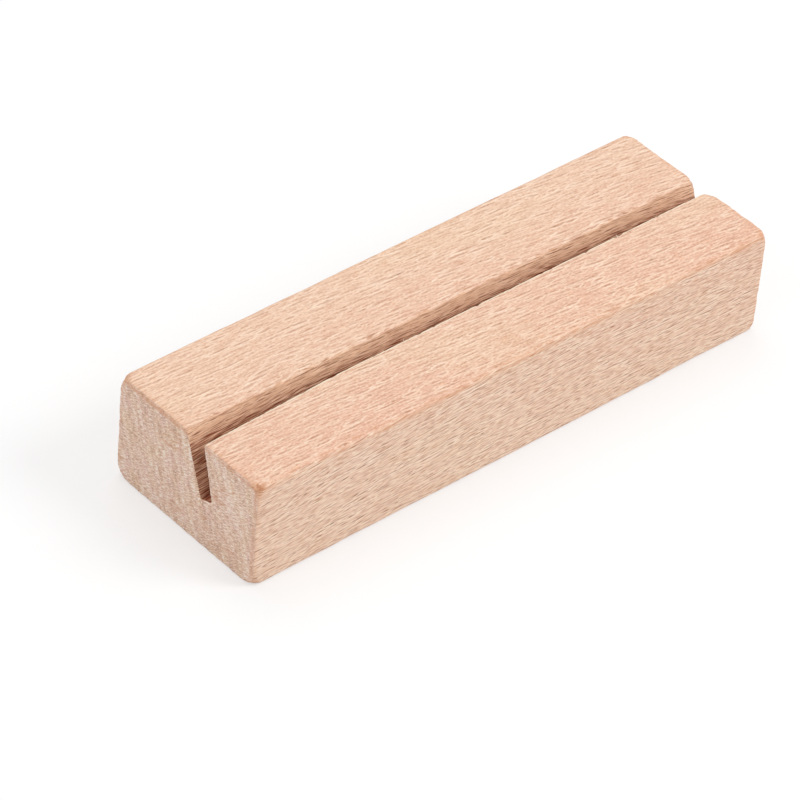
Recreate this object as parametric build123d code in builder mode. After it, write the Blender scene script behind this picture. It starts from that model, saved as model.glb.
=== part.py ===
from build123d import *
from math import cos, radians, sin, tan
import os

# A photo block holder: one block of solid beech with a leaning saw slot that holds a card.
# X runs along the block, -Y is the front rail and +Z is up. The origin is the middle of the
# bottom face. The mouth of the slot lies further back than its floor, so a card leans back.

# Block
block_length = 80.0
block_width = 25.0
block_height = 15.0

# Slot: a saw kerf through both ends, with its floor square to its walls.
# Depth and place are taken at the middle of the kerf, below and on the top face.
slot_width = 2.0
slot_depth = 8.0
slot_lean = 20.0
slot_set_forward = 0.55

# Flare: at the left end the front wall of the slot opens towards the mouth
flare_length = 20.5
flare_width = 0.75

# Sanding: every edge is eased, the corners are worn rounder, the slot's ends are barely touched
edge_radius = 0.5
corner_radius = 2.3
slot_end_radius = 0.15

# Every cutter runs this far past the faces that it cuts
overrun = 1.0

# The slot's own plane lies on its floor, with X along the block and the normal up the lean
lean = radians(slot_lean)
end_x = block_length / 2
wall_y = slot_width / 2
floor_y = -slot_set_forward - slot_depth * tan(lean)
floor_z = block_height - slot_depth
floor_plane = Plane(origin=(0, floor_y, floor_z), x_dir=(1, 0, 0), z_dir=(0, sin(lean), cos(lean)))
cutter_height = (slot_depth + slot_width * sin(lean)) / cos(lean) + overrun

# The flare is planar. It starts at nothing on the floor at the left end, grows to its full
# width on the lip there, and runs out along the lip, so its edge crosses the wall slantwise.
front_wall_height = (slot_depth - wall_y * sin(lean)) / cos(lean)
flare_foot = -front_wall_height * overrun / flare_length
flare_at_mouth = flare_width * (cutter_height / front_wall_height + overrun / flare_length)
flare_tip_x = flare_length * cutter_height / front_wall_height - end_x
flare_tip = floor_plane.from_local_coords((flare_tip_x, -wall_y, cutter_height))
flare_end_plane = Plane(
    origin=floor_plane.from_local_coords((-end_x - overrun, 0, 0)),
    x_dir=floor_plane.y_dir,
    z_dir=floor_plane.x_dir,
)

# The space that the saw leaves: the kerf, and the wedge of the flare from its end to its tip
with BuildPart() as slot_space:
    with BuildSketch(floor_plane):
        Rectangle(block_length + 2 * overrun, slot_width)
    extrude(amount=cutter_height)
    with BuildSketch(flare_end_plane) as flare_end:
        with BuildLine():
            Polyline(
                (-wall_y, flare_foot),
                (-wall_y - flare_at_mouth, cutter_height),
                (0, cutter_height),
                close=True,
            )
        make_face()
    loft(sections=[flare_end.sketch, Vertex(*flare_tip)])

# A slightly larger rounded block, which reaches inside the real one at its eight corners only
corner_clearance = (1 - cos(radians(45))) * (corner_radius - edge_radius)
with BuildPart() as corner_envelope:
    with BuildSketch(Plane.XY.offset(-corner_clearance)):
        Rectangle(block_length + 2 * corner_clearance, block_width + 2 * corner_clearance)
    extrude(amount=block_height + 2 * corner_clearance)
    fillet(corner_envelope.edges(), radius=corner_radius)

# The block, sawn and then sanded
with BuildPart() as slotted_block:
    with BuildSketch(Plane.XY):
        Rectangle(block_length, block_width)
    extrude(amount=block_height)
    add(slot_space.part, mode=Mode.SUBTRACT)

    # Both rails' top edges and slot lips, the bottom edges and the four upright edges
    bottom_edges = slotted_block.edges().group_by(Axis.Z)[0]
    top_edges = slotted_block.edges().group_by(Axis.Z)[-1]
    upright_edges = slotted_block.edges().filter_by(Axis.Z)
    fillet(bottom_edges + top_edges + upright_edges, radius=edge_radius)

    # The slot's outline on each end face: two walls and the floor
    end_faces = slotted_block.faces().filter_by(Axis.X)
    inside_width = block_width / 2 - 2 * edge_radius
    end_edges = end_faces.edges().filter_by_position(Axis.Y, -inside_width, inside_width)
    slot_end_edges = end_edges.filter_by_position(Axis.Z, 2 * edge_radius, block_height - 2 * edge_radius)
    fillet(slot_end_edges, radius=slot_end_radius)

    add(corner_envelope.part, mode=Mode.INTERSECT)

slotted_block.part.label = "slotted_block"

os.makedirs("parts", exist_ok=True)
export_step(slotted_block.part, "parts/slotted_block.step")
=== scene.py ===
import math

import bmesh
import bpy
import numpy as np
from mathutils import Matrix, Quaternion, Vector
from mathutils.geometry import delaunay_2d_cdt


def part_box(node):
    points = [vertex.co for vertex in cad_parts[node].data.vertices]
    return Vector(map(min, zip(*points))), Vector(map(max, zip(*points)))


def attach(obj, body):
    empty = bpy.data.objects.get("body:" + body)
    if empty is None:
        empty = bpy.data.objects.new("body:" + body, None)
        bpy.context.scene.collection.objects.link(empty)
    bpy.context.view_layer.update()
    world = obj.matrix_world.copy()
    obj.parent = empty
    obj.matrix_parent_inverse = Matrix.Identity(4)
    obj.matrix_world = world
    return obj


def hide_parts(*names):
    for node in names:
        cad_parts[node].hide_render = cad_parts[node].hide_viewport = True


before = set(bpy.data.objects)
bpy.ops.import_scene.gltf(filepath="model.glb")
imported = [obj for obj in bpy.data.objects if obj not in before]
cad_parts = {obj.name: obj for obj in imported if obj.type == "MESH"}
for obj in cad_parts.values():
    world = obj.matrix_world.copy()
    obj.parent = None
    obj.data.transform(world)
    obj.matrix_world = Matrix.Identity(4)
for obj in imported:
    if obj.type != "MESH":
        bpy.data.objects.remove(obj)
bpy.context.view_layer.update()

# The block
# A bar of solid beech, planed to its section, slotted with one leaning pass of a saw, and sawn
# to length. Sanding has eased its edges and worn its corners rounder; it carries no finish.
mm = 0.001
end_x, side_y, top_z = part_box("slotted_block")[1]
middle_z = top_z / 2
edge_radius = 0.5 * mm
end_radius = 0.2 * mm
corner_radii = {"left": 3.0 * mm, "right": 2.2 * mm}

# The slot leans so that a card leans back, and its floor is square to its walls. Near the left
# end the front wall opens a little towards its lip.
slot_width = 2.0 * mm
slot_depth = 8.0 * mm
slot_lean = math.radians(20)
slot_set_forward = 0.55 * mm
slot_corner_radius = 0.1 * mm
slot_end_radius = 0.15 * mm
flare_length = 20.5 * mm
flare_width = 0.75 * mm

up_slot = np.array([math.sin(slot_lean), math.cos(slot_lean)])
across_slot = np.array([math.cos(slot_lean), -math.sin(slot_lean)])
floor_middle = np.array([-slot_set_forward - slot_depth * math.tan(slot_lean), top_z - slot_depth])
floor_front = floor_middle - across_slot * slot_width / 2
floor_back = floor_middle + across_slot * slot_width / 2
lip_front = floor_front + up_slot * (top_z - floor_front[1]) / up_slot[1]
lip_back = floor_back + up_slot * (top_z - floor_back[1]) / up_slot[1]

# Round the section: each corner with its radius, the rounding of the end face before and after
# it, whether the side after it was left by the saw, and how far apart that side's points lie
section = [
    ((-side_y, 0), edge_radius, (end_radius, end_radius), 0, 0.5 * mm),
    ((-side_y, top_z), edge_radius, (end_radius, end_radius), 0, 0.4 * mm),
    (lip_front, edge_radius, (end_radius, slot_end_radius), 1, 0.2 * mm),
    (floor_front, slot_corner_radius, (slot_end_radius, slot_end_radius), 1, 0.2 * mm),
    (floor_back, slot_corner_radius, (slot_end_radius, slot_end_radius), 1, 0.15 * mm),
    (lip_back, edge_radius, (slot_end_radius, end_radius), 0, 0.4 * mm),
    ((side_y, top_z), edge_radius, (end_radius, end_radius), 0, 0.5 * mm),
    ((side_y, 0), edge_radius, (end_radius, end_radius), 0, 0.55 * mm),
]
arc_steps = 7


def turn_at(back, here, ahead):
    """The directions into and out of a corner of the section, and the angle between them."""
    into = (here - back) / np.linalg.norm(here - back)
    out = (ahead - here) / np.linalg.norm(ahead - here)
    return into, out, math.atan2(into[0] * out[1] - into[1] * out[0], into @ out)


def round_the_section():
    """Every point round the section: y, z, the rounding of its end, and how sawn it is."""
    ring = []
    places = [np.array(corner[0], float) for corner in section]
    count = len(section)
    for i, (_, radius, end_radii, sawn, spacing) in enumerate(section):
        back, here, ahead, beyond = (places[(i + k) % count] for k in (-1, 0, 1, 2))
        into, out, turn = turn_at(back, here, ahead)
        reach = radius * math.tan(abs(turn) / 2)
        start = here - into * reach
        centre = start + math.copysign(radius, turn) * np.array([-into[1], into[0]])
        sawn_before = section[i - 1][3]
        for step in range(arc_steps + 1):
            share = step / arc_steps
            cosine, sine = math.cos(turn * share), math.sin(turn * share)
            spoke = start - centre
            y = centre[0] + spoke[0] * cosine - spoke[1] * sine
            z = centre[1] + spoke[0] * sine + spoke[1] * cosine
            end_radius = end_radii[0] + (end_radii[1] - end_radii[0]) * share
            ring.append((y, z, end_radius, sawn_before + (sawn - sawn_before) * share))
        next_turn = turn_at(here, ahead, beyond)[2]
        next_reach = section[(i + 1) % count][1] * math.tan(abs(next_turn) / 2)
        first = here + out * reach
        last = ahead - out * next_reach
        pieces = max(1, round(np.linalg.norm(last - first) / spacing))
        for step in range(1, pieces):
            y, z = first + (last - first) * step / pieces
            ring.append((y, z, end_radii[1], sawn))
    return np.array(ring)


ring = round_the_section()
ring_yz, ring_end_radius, ring_sawn = ring[:, :2], ring[:, 2], ring[:, 3]
ring_size = len(ring)
along = np.roll(ring_yz, -1, axis=0) - np.roll(ring_yz, 1, axis=0)
along /= np.linalg.norm(along, axis=1, keepdims=True)
ring_outward = np.stack([-along[:, 1], along[:, 0]], axis=1)

# The wood is worn wholly this near to the slot's two lips, and less and less beyond
lip_reach = 0.4 * mm
lip_fade = 0.8 * mm
from_lip = np.minimum(*(np.linalg.norm(ring_yz - lip, axis=1) for lip in (lip_front, lip_back)))
ring_lip = np.clip(1 - (from_lip - lip_reach) / lip_fade, 0, 1)

# The flare moves the front wall in proportion to its height, and the top face beside it along.
# The outer part of that face stays where it is, and the rounding of the lip goes with the lip.
still_share = 0.375
least_share_over_lip = 0.95
wall_margin = 1.2 * edge_radius
wall_height = np.linalg.norm(lip_front - floor_front)
up_wall = np.clip((ring_yz - floor_front) @ up_slot / wall_height, 0, 1)
on_front_wall = np.abs((ring_yz - floor_front) @ across_slot) < wall_margin
over_lip = ring_yz[:, 1] > top_z - edge_radius
on_top_front = (ring_yz[:, 0] < lip_front[0]) & over_lip
across_top = (ring_yz[:, 0] + side_y) / (lip_front[0] + side_y)
fade = np.clip((across_top - still_share) / (1 - still_share), 0, 1)
flare_share = np.where(on_top_front, fade, np.where(on_front_wall, up_wall, 0))
flare_share = np.where(on_front_wall & over_lip, fade.clip(least_share_over_lip, 1), flare_share)
flare_with_lip = on_top_front | (on_front_wall & over_lip)

# Stations along the bar: even ones between the ends, and a quarter turn round each end
station_spacing = 0.31 * mm
end_steps = 6
even_x = np.arange(0, end_x - edge_radius, station_spacing)
even_x = np.concatenate([-even_x[:0:-1], even_x])
quarter = [math.pi / 2 * step / end_steps for step in range(end_steps + 1)]
stations = [(-1, angle) for angle in quarter[::-1]]
stations += [(x, None) for x in even_x]
stations += [(1, angle) for angle in quarter]


def station_ring(x, angle):
    """The section's points at one station, drawn in where they turn round an end."""
    if angle is None:
        place_x, drawn_in = np.full(ring_size, x), np.zeros(ring_size)
    else:
        place_x = x * (end_x - ring_end_radius * (1 - math.sin(angle)))
        drawn_in = ring_end_radius * (1 - math.cos(angle))
    run = (place_x + end_x) / flare_length
    with_lip = flare_share * np.clip(1 - run, 0, 1)
    on_wall = np.clip(flare_share - run, 0, 1)
    flare = flare_width / math.cos(slot_lean) * np.where(flare_with_lip, with_lip, on_wall)
    yz = ring_yz - ring_outward * drawn_in[:, None]
    return np.column_stack([place_x, yz[:, 0] - flare, yz[:, 1]])


points = np.concatenate([station_ring(*station) for station in stations])
faces = []
for s in range(len(stations) - 1):
    for i in range(ring_size):
        here, there = s * ring_size, (s + 1) * ring_size
        j = (i + 1) % ring_size
        faces.append((here + i, here + j, there + j, there + i))

# The sawn ends are flat triangle meshes inside the first ring and the last. Their points stand
# in staggered rows, a share of the spacing out of line, and keep clear of the rim.
cap_spacing = 0.45 * mm
cap_row_spacing = cap_spacing * math.sqrt(0.75)
cap_unevenness = 0.15
cap_margin = cap_spacing * 0.45
cap_draw = np.random.default_rng(3)


def fill_end(first):
    """Fills the ring that starts at this point, and returns its new points and faces."""
    outline = points[first:first + ring_size, 1:]
    x = points[first, 0]
    grid_y, grid_z = np.meshgrid(
        np.arange(-side_y, side_y, cap_spacing),
        np.arange(0, top_z, cap_row_spacing),
    )
    grid_y[1::2] += cap_spacing / 2
    inner = np.column_stack([grid_y.ravel(), grid_z.ravel()])
    inner += cap_draw.uniform(-cap_unevenness, cap_unevenness, inner.shape) * cap_spacing
    inside = np.zeros(len(inner), bool)
    nearest = np.full(len(inner), side_y)
    for here, step in zip(outline, np.roll(outline, -1, axis=0) - outline):
        if step[1]:
            crosses = (here[1] > inner[:, 1]) != (here[1] + step[1] > inner[:, 1])
            crossing = here[0] + step[0] * (inner[:, 1] - here[1]) / step[1]
            inside ^= crosses & (inner[:, 0] < crossing)
        share = np.clip(((inner - here) @ step) / (step @ step), 0, 1)
        gap = np.linalg.norm(inner - here - share[:, None] * step, axis=1)
        nearest = np.minimum(nearest, gap)
    inner = inner[inside & (nearest > cap_margin)]
    corners = [Vector(place / mm) for place in np.concatenate([outline, inner])]
    rim = [(i, (i + 1) % ring_size) for i in range(ring_size)]
    inside_only, merge_distance = 1, 1e-6
    filled = delaunay_2d_cdt(corners, rim, [], inside_only, merge_distance)
    _, _, triangles, sources, _, _ = filled
    added = len(points) - ring_size
    number = [source[0] + (first if source[0] < ring_size else added) for source in sources]
    new_points = np.column_stack([np.full(len(inner), x), inner])
    return new_points, [[number[corner] for corner in triangle] for triangle in triangles]


for first in (0, (len(stations) - 1) * ring_size):
    cap_points, cap_faces = fill_end(first)
    points = np.concatenate([points, cap_points])
    faces += cap_faces

# The corners are worn: points outside a slightly larger, rounder block are pulled onto it. It
# is larger by the depth that the finer rounding of the edges lies inside the coarser one.
depth_of_rounding = 1 - math.sqrt(0.5)
block_middle = np.array([0, 0, middle_z])
corner_radius = np.where(points[:, :1] > 0, corner_radii["right"], corner_radii["left"])
corner_clearance = depth_of_rounding * (corner_radius - end_radius)
core = np.array([end_x, side_y, middle_z]) + corner_clearance - corner_radius
inner = np.clip(points - block_middle, -core, core)
out = points - block_middle - inner
distance = np.linalg.norm(out, axis=1, keepdims=True)
points = block_middle + inner + out * (corner_radius / np.maximum(distance, corner_radius))

# At the right end the slot's two top corners are worn in the same way, the front one more
front_slot_radius = 3.6 * mm
back_slot_radius = 1.6 * mm
slot_corners = ((lip_front, 1, front_slot_radius), (lip_back, -1, back_slot_radius))
for (lip_y, _), side, radius in slot_corners:
    reach = radius - depth_of_rounding * (radius - slot_end_radius)
    wall_y = lip_y + (points[:, 2] - top_z) * math.tan(slot_lean)
    from_wall = side * (points[:, 1] - wall_y)
    out = np.column_stack([points[:, 0] - end_x, from_wall, points[:, 2] - top_z]) + reach
    worn = (out.min(axis=1) > 0) & (out[:, 1] < radius)
    out *= radius / np.maximum(np.linalg.norm(out, axis=1, keepdims=True), radius)
    x, y, z = (out[worn] - reach).T
    worn_y = lip_y + z * math.tan(slot_lean) + side * y
    points[worn] = np.column_stack([end_x + x, worn_y, top_z + z])

plain_mesh = bpy.data.meshes.new("plain_block")
plain_mesh.from_pydata(points.tolist(), [], faces)
for name, ring_values in (("sawn", ring_sawn), ("lip", ring_lip)):
    values = np.zeros(len(points), np.float32)
    values[:len(stations) * ring_size] = np.tile(ring_values, len(stations))
    plain_mesh.attributes.new(name, "FLOAT", "POINT").data.foreach_set("value", values)
builder = bmesh.new()
builder.from_mesh(plain_mesh)
bmesh.ops.recalc_face_normals(builder, faces=builder.faces)
builder.to_mesh(plain_mesh)
builder.free()
plain_mesh.shade_smooth()
block = bpy.data.objects.new("beech_block", plain_mesh)
bpy.context.scene.collection.objects.link(block)


class Field:
    """A socket of a node tree. Arithmetic on it adds the nodes that work it out."""

    def __init__(self, tree, socket=None):
        self.tree, self.socket = tree, socket

    def node(self, kind, settings=None, sockets=None, output=0):
        """A node with its settings made first, then its sockets given values or links."""
        made = self.tree.nodes.new(kind)
        for name, value in (settings or {}).items():
            setattr(made, name, value)
        for name, value in (sockets or {}).items():
            if isinstance(value, Field):
                self.tree.links.new(value.socket, made.inputs[name])
            else:
                made.inputs[name].default_value = value
        if not made.outputs:
            return made
        return Field(self.tree, made.outputs[output])

    def maths(self, operation, *values):
        return self.node("ShaderNodeMath", {"operation": operation}, dict(enumerate(values)))

    def vector(self, operation, sockets, output=0):
        return self.node("ShaderNodeVectorMath", {"operation": operation}, sockets, output)

    def __add__(self, other):
        return self.maths("ADD", self, other)

    def __sub__(self, other):
        return self.maths("SUBTRACT", self, other)

    def __rsub__(self, other):
        return self.maths("SUBTRACT", other, self)

    def __mul__(self, other):
        return self.maths("MULTIPLY", self, other)

    def __truediv__(self, other):
        return self.maths("DIVIDE", self, other)

    def __rtruediv__(self, other):
        return self.maths("DIVIDE", other, self)

    def __abs__(self):
        return self.maths("ABSOLUTE", self)

    def __neg__(self):
        return self.maths("MULTIPLY", self, -1.0)

    __radd__, __rmul__ = __add__, __mul__

    def least(self, other):
        return self.maths("MINIMUM", self, other)

    def most(self, other):
        return self.maths("MAXIMUM", self, other)

    def over(self, other):
        """1 where this is greater than the other, 0 elsewhere."""
        return self.maths("GREATER_THAN", self, other)

    def step(self, start, end):
        """0 at start, 1 at end, smooth between."""
        sockets = {"Value": self, "From Min": start, "From Max": end}
        return self.node("ShaderNodeMapRange", {"interpolation_type": "SMOOTHSTEP"}, sockets)

    def other(self, output):
        """Another output of the node that this socket belongs to."""
        return Field(self.tree, self.socket.node.outputs[output])

    def parts(self):
        """The three numbers of this vector or colour."""
        made = self.tree.nodes.new("ShaderNodeSeparateXYZ")
        self.tree.links.new(self.socket, made.inputs[0])
        return [Field(self.tree, socket) for socket in made.outputs]

    def at(self, x, y, z):
        return self.node("ShaderNodeCombineXYZ", None, {"X": x, "Y": y, "Z": z})

    def noise(self, seed, detail=0.0, roughness=0.5):
        """Soft noise about 0, from -0.5 to 0.5, with one swell to a unit of this vector."""
        sockets = {"Vector": self, "W": seed, "Scale": 1.0, "Detail": detail, "Roughness": roughness}
        return self.node("ShaderNodeTexNoise", {"noise_dimensions": "4D"}, sockets) - 0.5

    def turned(self, angle):
        """This vector turned about its third axis, so that the squares of a pattern don't show."""
        sockets = {"Vector": self, "Angle": angle}
        return self.node("ShaderNodeVectorRotate", {"rotation_type": "Z_AXIS"}, sockets)

    def flat_noise(self):
        """Soft even noise about 0 on this vector's first two numbers."""
        sockets = {"Vector": self.turned(0.6), "Scale": 1.0, "Detail": 0.0}
        return self.node("ShaderNodeTexNoise", {"noise_dimensions": "2D"}, sockets) - 0.5

    def mix(self, amount, first, second):
        """A colour between two, by an amount."""
        return self.node("ShaderNodeMix", {"data_type": "RGBA"}, {0: amount, 6: first, 7: second}, 2)

    def blend(self, amount, other):
        """This colour, mixed towards another by an amount."""
        return self.mix(amount, self, other)


# Wear and saw marks, carved into the plain block: marks along the slot's walls, chips out of its
# lips, torn wood at its ends, and edges that wander. Each is noise about 0, lifted, cut off at 0
# and scaled to its depth.
carving = bpy.data.node_groups.new("wear_and_saw_marks", "GeometryNodeTree")
carving.interface.new_socket("Geometry", in_out="OUTPUT", socket_type="NodeSocketGeometry")
carving_sizes = {
    "Saw mark depth": 0.09 * mm,
    "Saw mark spacing": 0.5 * mm,
    "Saw mark length": 5.0 * mm,
    "Chip depth": 0.35 * mm,
    "Chip length": 1.6 * mm,
    "Chip width": 2.5 * mm,
    "Torn end depth": 0.14 * mm,
    "Torn end reach": 0.4 * mm,
    "Torn strip height": 0.4 * mm,
    "Torn strip width": 3.0 * mm,
    "Edge wander depth": 0.12 * mm,
    "Edge wander length": 1.1 * mm,
    "Edge wander reach": 0.7 * mm,
    "Seed": 5.0,
}
carving.interface.new_socket("Block", in_out="INPUT", socket_type="NodeSocketGeometry")
for name in carving_sizes:
    carving.interface.new_socket(name, in_out="INPUT", socket_type="NodeSocketFloat")
carving.interface.new_socket("Wood", in_out="INPUT", socket_type="NodeSocketMaterial")
group_in = carving.nodes.new("NodeGroupInput")
given = {socket.name: Field(carving, socket) for socket in group_in.outputs if socket.name}
carve = Field(carving)
x, y, z = carve.node("GeometryNodeInputPosition").parts()
outward = carve.node("GeometryNodeInputNormal")
sawn, lip = (carve.node("GeometryNodeInputNamedAttribute", {"data_type": "FLOAT"}, {"Name": name})
             for name in ("sawn", "lip"))

spacing, length, seed = given["Saw mark spacing"], given["Saw mark length"], given["Seed"]
saw_marks = carve.at(x / length, y / spacing, z / spacing).noise(seed, 2.0, 0.6)
saw_depth = (saw_marks + 0.45).most(0) * given["Saw mark depth"] * sawn * 2
chip_place = carve.at(x / given["Chip length"], y / given["Chip width"], 0.0)
chips = chip_place.noise(seed + 1, 2.0, 0.7).step(0.0, 0.3)
chip_depth = chips * given["Chip depth"] * lip * lip
from_end = end_x - abs(x)
from_side = side_y - abs(y)
from_face = middle_z - abs(z - middle_z)
nearest = from_end.least(from_side).least(from_face)
farthest = from_end.most(from_side).most(from_face)
to_edge = from_end + from_side + from_face - nearest - farthest
wander_length = given["Edge wander length"]
wander = carve.at(x / wander_length / 6, y / wander_length, z / wander_length).noise(seed + 2, 1.0)
on_edge = to_edge.step(given["Edge wander reach"], 0.15 * mm)
edge_depth = (wander * 2.2 + 0.25).most(0) * on_edge * given["Edge wander depth"]
inward = -(saw_depth + chip_depth + edge_depth)
moved = carve.vector("SCALE", {0: outward, "Scale": inward})
torn_place = carve.at(z / given["Torn strip height"], y / given["Torn strip width"], x / (20 * mm))
torn = torn_place.noise(seed + 3, 1.0)
at_end = from_end.step(given["Torn end reach"], 0.0)
torn_depth = (torn + 0.3).most(0) * given["Torn end depth"] * sawn * at_end * 2
torn_depth = torn_depth * (-carve.maths("SIGN", x))
moved = carve.vector("ADD", {0: moved, 1: carve.at(torn_depth, 0.0, 0.0)})
shaped = carve.node("GeometryNodeSetPosition", None, {"Geometry": given["Block"], "Offset": moved})
shaped = shaped.node("GeometryNodeRealizeInstances", None, {"Geometry": shaped})
shaped = shaped.node("GeometryNodeSetMaterial", None, {"Geometry": shaped, "Material": given["Wood"]})
group_out = carving.nodes.new("NodeGroupOutput")
carving.links.new(shaped.socket, group_out.inputs["Geometry"])


def srgb(red, green, blue):
    """The linear colour of a surface that looks like this under full light."""
    values = [value / 255 for value in (red, green, blue)]
    return [v / 12.92 if v <= 0.04045 else ((v + 0.055) / 1.055) ** 2.4 for v in values] + [1]


# Bare sanded beech: pale pink brown. Its pores and rays show as short dark dashes along the
# grain on the long faces, and as fine slanting flecks on the sawn ends. Places are in
# millimetres here, and a number that divides one is how far apart a pattern's swells lie.
beech = bpy.data.materials.new("beech")
beech.use_nodes = True
beech.node_tree.nodes.clear()
wood = Field(beech.node_tree)
place = wood.node("ShaderNodeTexCoord", output="Object")
x, y, z = place.vector("SCALE", {0: place, "Scale": 1 / mm}).parts()

from_end = end_x / mm - abs(x)
from_side = side_y / mm - abs(y)
from_face = middle_z / mm - abs(z - middle_z / mm)
sawn = wood.node("ShaderNodeAttribute", {"attribute_name": "sawn"}, None, "Fac")

# The grain isn't quite parallel to the bar: it swings a few degrees from one end to the other.
# It is a coordinate across the fibres, run over the top, down the sides and round the slot.
top_slope, top_bend = 0.07, 0.00054
side_slope, side_bend = -0.0222, 0.00083
side_fineness = 1.5
side_shift = 50
slow = wood.at(x / 7, y / 3, z / 3).noise(1.0)
quick = wood.at(x / 2.2, y / 0.8, z / 0.8).noise(1.5)
wander = slow * 0.5 + quick * 0.15
on_side = (from_face - from_side).over(0)
in_slot = sawn.over(0.5)
grain_y = y + top_slope * x + top_bend * x * x + wander
grain_z = (z + side_slope * x + side_bend * x * x) * side_fineness + wander * 0.7
grain = grain_y * (1 - on_side) + (grain_z + on_side * side_shift) * on_side.most(in_slot)


def dashes(apart_along, apart_across, half_length, half_width, shift):
    """Lens-shaped lines along the grain, about one to a cell: how dark, and the rim beside them."""
    turn = 0.5
    cell = wood.at(x / apart_along + shift, grain / apart_across, 0.0).turned(turn)
    settings = {"voronoi_dimensions": "2D"}
    sockets = {"Vector": cell, "Scale": 1.0, "Randomness": 0.65}
    middle = wood.node("ShaderNodeTexVoronoi", settings, sockets, "Position")
    along, across, _ = cell.vector("SUBTRACT", {0: cell, 1: middle}).turned(-turn).parts()
    chance, strength, _ = middle.other("Color").parts()
    strength = 0.2 + 0.8 * strength * strength
    own_half_length = half_length * (0.3 + 0.7 * chance)
    share = along * apart_along / own_half_length
    lens = 1 - share * share - abs(across) * apart_across / half_width
    rim = lens.step(-2.8, -1.3) - lens.step(-1.3, -0.2)
    return lens.step(-0.2, 0.6) * strength, rim * strength


rays, ray_rims = dashes(
    apart_along=3.2, apart_across=0.62, half_length=2.0, half_width=0.125, shift=0.0
)
pores, pore_rims = dashes(
    apart_along=1.8, apart_across=0.42, half_length=1.0, half_width=0.1, shift=7.3
)
fibre_length = 2.8 + on_side * 1.2
fuzz_length = 0.38 + on_side * 0.75
fibre = wood.at(x / fibre_length, grain / 0.25, 0.0).flat_noise()
fuzz = wood.at(x / fuzz_length + 50, grain / 0.15, 0.0).flat_noise()
streak = wood.at(x / 10, grain / 0.9, 0.0).noise(3.0)
patch = wood.at(x / 18, y / 6, z / 6).noise(4.0)

body_colour = srgb(237, 197, 169)
ray_colour = srgb(152, 86, 52)
fibre_colour = srgb(188, 130, 94)
pale_colour = srgb(255, 232, 210)
pink_colour = srgb(233, 180, 152)
tan_colour = srgb(234, 198, 160)

# The wood is pinker towards the front; low on the sides it is less pink and painted paler, standing in
# for light bounced up from the floor
pink_on_top = (9 - y) / 20
pink_on_side = 0.28 + z / 25 + (x * z / 400).most(0)
pinkness = (1 - on_side) * pink_on_top + on_side * pink_on_side
colour = wood.mix((pinkness * 0.8 + patch * 0.6).most(0), body_colour, pink_colour)
colour = colour.blend(patch.step(-0.05, -0.25) * 0.25, tan_colour)
colour = colour.blend(streak.step(0.0, 0.35) * 0.1, pink_colour)
# Painted light: the sides are paler towards the floor, as if lit by light bounced up from it
colour = colour.blend(on_side * (0.24 - z / 100), pale_colour)

# Dark and pale fibres, then the pale rims, the pores and the rays, all stronger on the sides
contrast = 1 + on_side * 0.45
grain_tone = (fibre * 0.8 + fuzz * (1.0 + on_side * 0.5)) * contrast
colour = colour.blend((-grain_tone).most(0).least(0.8), fibre_colour)
colour = colour.blend(grain_tone.most(0).least(0.8), pale_colour)
colour = colour.blend((ray_rims * 0.7 + pore_rims * 0.5) * contrast, pale_colour)
colour = colour.blend(pores * 0.16 * contrast, ray_colour)
colour = colour.blend(rays * 0.37 * contrast, ray_colour)

# The walls and floor of the slot, scorched by the saw in patches, with painted shade that darkens them
# towards the floor
saw_tint = srgb(250, 200, 160)
scorched_and_shaded_colour = srgb(140, 70, 38)
scorched_ray_colour = srgb(100, 40, 16)
shade_starts, shade_full = 0.9, 2.4
depth = top_z / mm - z
scorch = wood.at(x / 2.5, grain / 0.22, 0.0).noise(10.0, 1.0, 0.7)
scorch_patch = wood.at(x / 5, y / 2.5, z / 1.2).noise(11.0, 1.0)
scorch = scorch + wood.at(x / 2.2 + 90, grain / 0.2, 0.0).flat_noise()
# Painted shade: the slot's walls darken with depth below the top, as in a shadowed recess
painted_slot_shade = depth.step(shade_starts, shade_full)
scorch_and_shade = (scorch * 2.1 + scorch_patch * 0.8 + painted_slot_shade * 0.85 - 0.31).most(0).least(1)
sawn_colour = colour.blend(0.5, saw_tint)
sawn_colour = sawn_colour.blend(scorch_and_shade, scorched_and_shaded_colour)
sawn_colour = sawn_colour.blend((rays + pores * 0.6) * 0.7, scorched_ray_colour)
torn_edge = wood.at(x / 1.4 + 30, grain / 0.3, 0.0).flat_noise()
colour = colour.blend((sawn + torn_edge * 1.3).step(0.25, 0.55), sawn_colour)

# Torn fibres draw dark lines over the slot's back lip, and a painted highlight runs as a thin pale
# line along the front lip
torn_line_colour = srgb(170, 104, 66)
lip_highlight_colour = srgb(255, 238, 212)
lip = wood.node("ShaderNodeAttribute", {"attribute_name": "lip"}, None, "Fac")
in_front = (-slot_set_forward / mm - depth * math.tan(slot_lean) - y).over(0)
torn_lines = (lip * 0.5 + torn_edge * 1.6).step(0.6, 0.95) * (1 - in_front)
colour = colour.blend(torn_lines * 0.4, torn_line_colour)
# A painted highlight: a thin pale line along the visible part of the front lip's rounding
painted_lip_highlight = (sawn + fuzz * 0.05).step(0.0, 0.08) * sawn.step(0.65, 0.4) * in_front
colour = colour.blend(painted_lip_highlight, lip_highlight_colour)

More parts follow.
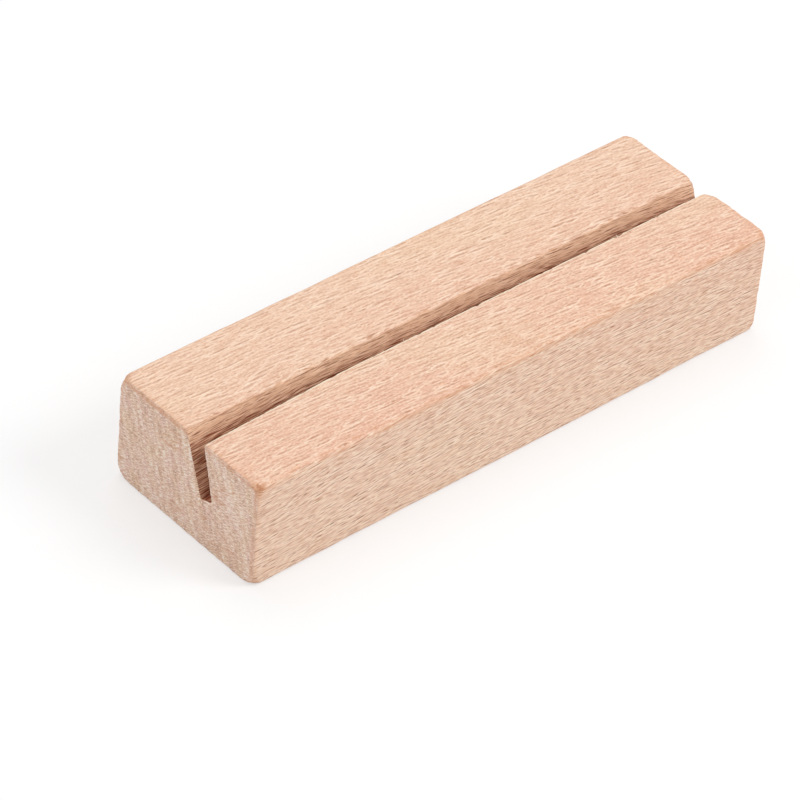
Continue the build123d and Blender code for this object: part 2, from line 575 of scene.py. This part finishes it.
# The sawn ends: pale and fuzzy, with fine flecks along the leaning rays and the year rings as
# faint upright bands
end_body_colour = srgb(237, 201, 171)
end_pink_colour = srgb(238, 198, 180)
end_fleck_colour = srgb(172, 131, 106)
end_fuzz_colour = srgb(255, 240, 226)
end_glint_colour = srgb(255, 252, 248)
ray_lean = math.radians(18)
radial = z * math.sin(ray_lean) - y * math.cos(ray_lean)
around = z * math.cos(ray_lean) + y * math.sin(ray_lean)
mottle = wood.at(x / 0.25, around / 0.11, radial / 0.75).noise(6.0)
blotch = wood.at(x / 2.0, around / 1.6, radial / 0.45).noise(6.5)
tint = wood.at(x / 2.0, around / 2.6, radial / 1.3).noise(6.7, 1.0)
speck = wood.at(x / 0.2, around / 0.2, radial / 0.2).noise(7.0)
rings = wood.at(x / 30, around / 6, radial / 0.8).noise(8.0, 1.0)
end_pinkness = (tint * 2.4 + 0.5).most(0).least(1)
end_colour = wood.mix(end_pinkness, end_body_colour, end_pink_colour)
end_tone = mottle * 4.0 + speck * 1.8 + blotch * 1.2 + rings * 1.6 - 0.04
end_colour = end_colour.blend((end_tone * -0.5).most(0).least(0.9), end_fleck_colour)
end_colour = end_colour.blend(end_tone.most(0).least(0.9), end_fuzz_colour)
# Painted glints: near-white specks scattered over the end grain
end_colour = end_colour.blend(speck.step(0.14, 0.3) * 0.8, end_glint_colour)

# Fine orange cracks follow some of the rays, where a slow swell passes through its middle
crack_colour = srgb(206, 140, 96)
swell = wood.at(x / 30, around / 1.2, radial / 9).noise(8.5, 1.0, 0.4)
crack_place = wood.at(x / 30, around / 2, radial / 4).noise(8.7)
crack = abs(swell).step(0.02, 0.0) * crack_place.step(0.04, 0.14)
end_colour = end_colour.blend(crack * 0.5, crack_colour)

# A painted highlight: the end of the slot's front wall is painted paler
slot_end_highlight_colour = srgb(255, 232, 214)
end_colour = end_colour.blend(sawn.step(0.3, 0.8) * in_front * 0.8, slot_end_highlight_colour)

# The end wood shows where the face looks along the bar, with a ragged border on the roundings
facing_along = abs(wood.node("ShaderNodeTexCoord", output="Normal").parts()[0])
ragged = wood.at(x / 0.3, y / 0.5, z / 0.5).noise(9.0, 2.0)
cut_across = (facing_along + ragged * 0.25).step(0.6, 0.95)
colour = colour.blend(cut_across, end_colour)

# Sanding has burnished the edges in uneven orange lines. Each edge lies between two faces: the
# line runs just off it on the first, fainter on the second, with its strength and patchiness.
burnish_colour = srgb(220, 154, 108)
burnish_patch = wood.at(x / 5, y / 1.5, z / 1.5).noise(9.5, 2.0)
burnish = 0.0
on_top = (z - middle_z / mm).over(0)
on_front = (-y).over(0)
edges = (
    (from_end, from_face, 0.45 * on_top, 1.0 * on_top),
    (from_side, from_face, 0.35 * on_top, 1.5 * on_top),
    (from_end, from_side, 0.1 + 0.3 * on_front, 1.0),
)
for first, second, strength, patchiness in edges:
    place = second - first + ragged * 0.4
    on_edge = first.least(second).step(0.35, 0.15)
    strong_line = place.step(0.0, 0.4) * place.step(0.85, 0.5)
    faint_line = place.step(-1.0, 0.0) * place.step(0.4, 0.0)
    line = strong_line + 0.45 * faint_line
    burnish = (line * on_edge * (strength + burnish_patch * patchiness)).most(burnish)
to_corner = from_end + from_side + from_face + ragged
burnish = burnish.most(to_corner.step(2.2, 1.2) * (0.45 + burnish_patch))
colour = colour.blend(burnish.least(1), burnish_colour)

# A small bruise on the near corner of the front rail
bruise_place = (-39.4, -12.0, 14.4)
bruise_colour = srgb(186, 118, 74)
bruise = wood.vector("DISTANCE", {0: wood.at(x, y, z), 1: bruise_place}, "Value")
colour = colour.blend((bruise + fuzz).step(0.7, 0.25) * 0.6, bruise_colour)

# The fibres stand up a little, more so on the sawn ends, and the rays and pores lie lower
relief_depth = 0.04 * mm
relief = fibre * 0.4 + fuzz * 0.3 + (mottle + speck) * cut_across * 1.2 - rays * 0.4 - pores * 0.2
bump = wood.node("ShaderNodeBump", None, {"Strength": 0.5, "Distance": relief_depth, "Height": relief})
surface = wood.node(
    "ShaderNodeBsdfPrincipled",
    None,
    {"Base Color": colour, "Roughness": 0.6 + fibre * 0.15, "IOR": 1.45, "Normal": bump},
)
wood.node("ShaderNodeOutputMaterial", None, {"Surface": surface})

carver = block.modifiers.new("wear_and_saw_marks", "NODES")
carver.node_group = carving
for item in carving.interface.items_tree:
    if item.name in carving_sizes:
        carver[item.identifier] = carving_sizes[item.name]
    elif item.name == "Wood":
        carver[item.identifier] = beech
bpy.context.view_layer.update()
carved = block.evaluated_get(bpy.context.evaluated_depsgraph_get())
block_mesh = bpy.data.meshes.new_from_object(carved)
block.modifiers.remove(carver)
block.data = block_mesh
block_mesh.name = "beech_block"
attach(block, "root")
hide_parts("slotted_block")

# Splinters
# Single wood fibres, torn loose by the saw and left standing on the slot's front lip. They are
# fresh wood, paler than the sanded faces.
splinter_radius = 0.055 * mm
splinter_length = 0.95 * mm
splinter_sides = 5
shortest_share = 0.75
root_before_lip = 0.52 * mm
root_depth = 0.37 * mm
splinter_x = (-12.4, -11.9, -9.3, -2.6, 9.5, 24.8, 25.3, 31.0)
splinter_places = [
    (place_x * mm, lip_front[0] - root_before_lip, top_z - root_depth) for place_x in splinter_x
]
loose_fibres = bpy.data.node_groups.new("loose_fibres", "GeometryNodeTree")
loose_fibres.interface.new_socket("Geometry", in_out="OUTPUT", socket_type="NodeSocketGeometry")
loose_fibres.interface.new_socket("Places", in_out="INPUT", socket_type="NodeSocketGeometry")
loose_fibres.interface.new_socket("Longest", in_out="INPUT", socket_type="NodeSocketFloat")
loose_fibres.interface.new_socket("Seed", in_out="INPUT", socket_type="NodeSocketInt")
loose_fibres.interface.new_socket("Wood", in_out="INPUT", socket_type="NodeSocketMaterial")
group_in = loose_fibres.nodes.new("NodeGroupInput")
given = {socket.name: Field(loose_fibres, socket) for socket in group_in.outputs if socket.name}
tree = Field(loose_fibres)
fibre_sockets = {
    "Vertices": splinter_sides,
    "Radius Top": 0.0,
    "Radius Bottom": splinter_radius,
    "Depth": given["Longest"],
}
splinter = tree.node("GeometryNodeMeshCone", None, fibre_sockets)

# Each leans over the slot, nearly level and to either side, and has its own share of the length
lean_sockets = {"Min": (-1, 0.4, -0.3), "Max": (1, 1, 0.1), "Seed": given["Seed"]}
towards = tree.node("FunctionNodeRandomValue", {"data_type": "FLOAT_VECTOR"}, lean_sockets)
turn = tree.node("FunctionNodeAlignRotationToVector", {"axis": "Z"}, {"Vector": towards})
share_sockets = {2: shortest_share, 3: 1.0, "Seed": given["Seed"]}
length_share = tree.node("FunctionNodeRandomValue", {"data_type": "FLOAT"}, share_sockets, 1)
scale = tree.at(1.0, 1.0, length_share)
spread = {"Points": given["Places"], "Instance": splinter, "Rotation": turn, "Scale": scale}
spread = tree.node("GeometryNodeInstanceOnPoints", None, spread)
spread = tree.node("GeometryNodeRealizeInstances", None, {"Geometry": spread})
spread = tree.node("GeometryNodeSetMaterial", None, {"Geometry": spread, "Material": given["Wood"]})
group_out = loose_fibres.nodes.new("NodeGroupOutput")
loose_fibres.links.new(spread.socket, group_out.inputs["Geometry"])

fresh_wood = bpy.data.materials.new("fresh_wood")
fresh_wood.use_nodes = True
fresh_wood.node_tree.nodes.clear()
fresh = Field(fresh_wood.node_tree)
fresh_colour = srgb(255, 240, 222)
fresh_sockets = {"Base Color": fresh_colour, "Roughness": 0.6, "IOR": 1.45}
surface = fresh.node("ShaderNodeBsdfPrincipled", None, fresh_sockets)
fresh.node("ShaderNodeOutputMaterial", None, {"Surface": surface})

places_mesh = bpy.data.meshes.new("splinter_places")
places_mesh.from_pydata(splinter_places, [], [])
splinters = bpy.data.objects.new("splinters", places_mesh)
bpy.context.scene.collection.objects.link(splinters)
grower = splinters.modifiers.new("loose_fibres", "NODES")
grower.node_group = loose_fibres
splinter_sizes = {"Longest": splinter_length, "Seed": 4, "Wood": fresh_wood}
for item in loose_fibres.interface.items_tree:
    if item.name in splinter_sizes:
        grower[item.identifier] = splinter_sizes[item.name]
bpy.context.view_layer.update()
grown = splinters.evaluated_get(bpy.context.evaluated_depsgraph_get())
splinter_mesh = bpy.data.meshes.new_from_object(grown)
splinters.modifiers.remove(grower)
splinters.data = splinter_mesh
splinter_mesh.name = "splinters"
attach(splinters, "root")

# The studio
# White paper under the block, a white surround, and three large soft lamps: one overhead and a
# little behind the block, one in front of it to the right, and a weaker one at its left end.
floor_reach = 3.0
paper_light = 0.8
paper_glow = 0.5
surround_light = 0.62
pure_white = (1, 1, 1, 1)
corners = [(-1, -1), (1, -1), (1, 1), (-1, 1)]
floor_mesh = bpy.data.meshes.new("paper_floor")
floor_mesh.from_pydata([(x * floor_reach, y * floor_reach, 0) for x, y in corners], [], [(0, 1, 2, 3)])
floor = bpy.data.objects.new("paper_floor", floor_mesh)
bpy.context.scene.collection.objects.link(floor)
paper = bpy.data.materials.new("white_paper")
paper.use_nodes = True
paper.node_tree.nodes.clear()
sheet = Field(paper.node_tree)
seen = sheet.node("ShaderNodeLightPath", output="Is Camera Ray")
sheet_colour = sheet.mix(seen, (paper_light, paper_light, paper_light, 1), pure_white)
diffuse = sheet.node("ShaderNodeBsdfDiffuse", None, {"Color": sheet_colour})
glow = sheet.node("ShaderNodeEmission", None, {"Color": pure_white, "Strength": 1.0})
both = sheet.node("ShaderNodeMixShader", None, {0: seen * paper_glow, 1: diffuse, 2: glow})
sheet.node("ShaderNodeOutputMaterial", None, {"Surface": both})
floor_mesh.materials.append(paper)

world = bpy.data.worlds.new("studio")
bpy.context.scene.world = world
world.use_nodes = True
world.node_tree.nodes.clear()
sky = Field(world.node_tree)
seen = sky.node("ShaderNodeLightPath", output="Is Camera Ray")
dim = sky.node("ShaderNodeBackground", None, {"Color": pure_white, "Strength": surround_light})
bright = sky.node("ShaderNodeBackground", None, {"Color": pure_white, "Strength": 1.0})
either = sky.node("ShaderNodeMixShader", None, {0: seen, 1: dim, 2: bright})
sky.node("ShaderNodeOutputWorld", None, {"Surface": either})


def soft_lamp(name, place, size, power):
    """A round soft lamp that points at the block."""
    lamp = bpy.data.lights.new(name, "AREA")
    lamp.shape, lamp.size, lamp.energy = "DISK", size, power
    made = bpy.data.objects.new(name, lamp)
    made.location = place
    made.rotation_mode = "QUATERNION"
    made.rotation_quaternion = (-Vector(place)).to_track_quat("-Z", "Y")
    bpy.context.scene.collection.objects.link(made)


soft_lamp("overhead_lamp", place=(0.08, 0.28, 0.745), size=0.5, power=1.1)
soft_lamp("front_lamp", place=(0.36, -0.45, 0.56), size=0.35, power=2.1)
soft_lamp("side_lamp", place=(-0.62, -0.08, 0.5), size=0.5, power=0.6)

# The camera
# Where the photograph was taken from, found by fitting a camera to the block's known size.
camera_azimuth = math.radians(-44.193)
camera_elevation = math.radians(39.712)
camera_roll = math.radians(5.197)
camera_distance = 570.25 * mm
camera_aim = Vector((-6.473, 0.680, 2.655)) * mm
sensor_width = 36
focal_pixels, image_pixels = 4791.3, 800
camera_data = bpy.data.cameras.new("camera")
camera_data.sensor_width = sensor_width
camera_data.lens = sensor_width * focal_pixels / image_pixels
camera_data.clip_start = 0.01
camera = bpy.data.objects.new("camera", camera_data)
bpy.context.scene.collection.objects.link(camera)
level_reach = math.cos(camera_elevation)
from_aim = Vector((
    math.sin(camera_azimuth) * level_reach,
    -math.cos(camera_azimuth) * level_reach,
    math.sin(camera_elevation),
))
camera.location = camera_aim + from_aim * camera_distance
camera.rotation_mode = "QUATERNION"
level_camera = (-from_aim).to_track_quat("-Z", "Y")
camera.rotation_quaternion = level_camera @ Quaternion((0, 0, 1), camera_roll)
bpy.context.scene.camera = camera
bpy.context.scene.view_settings.view_transform = "Standard"
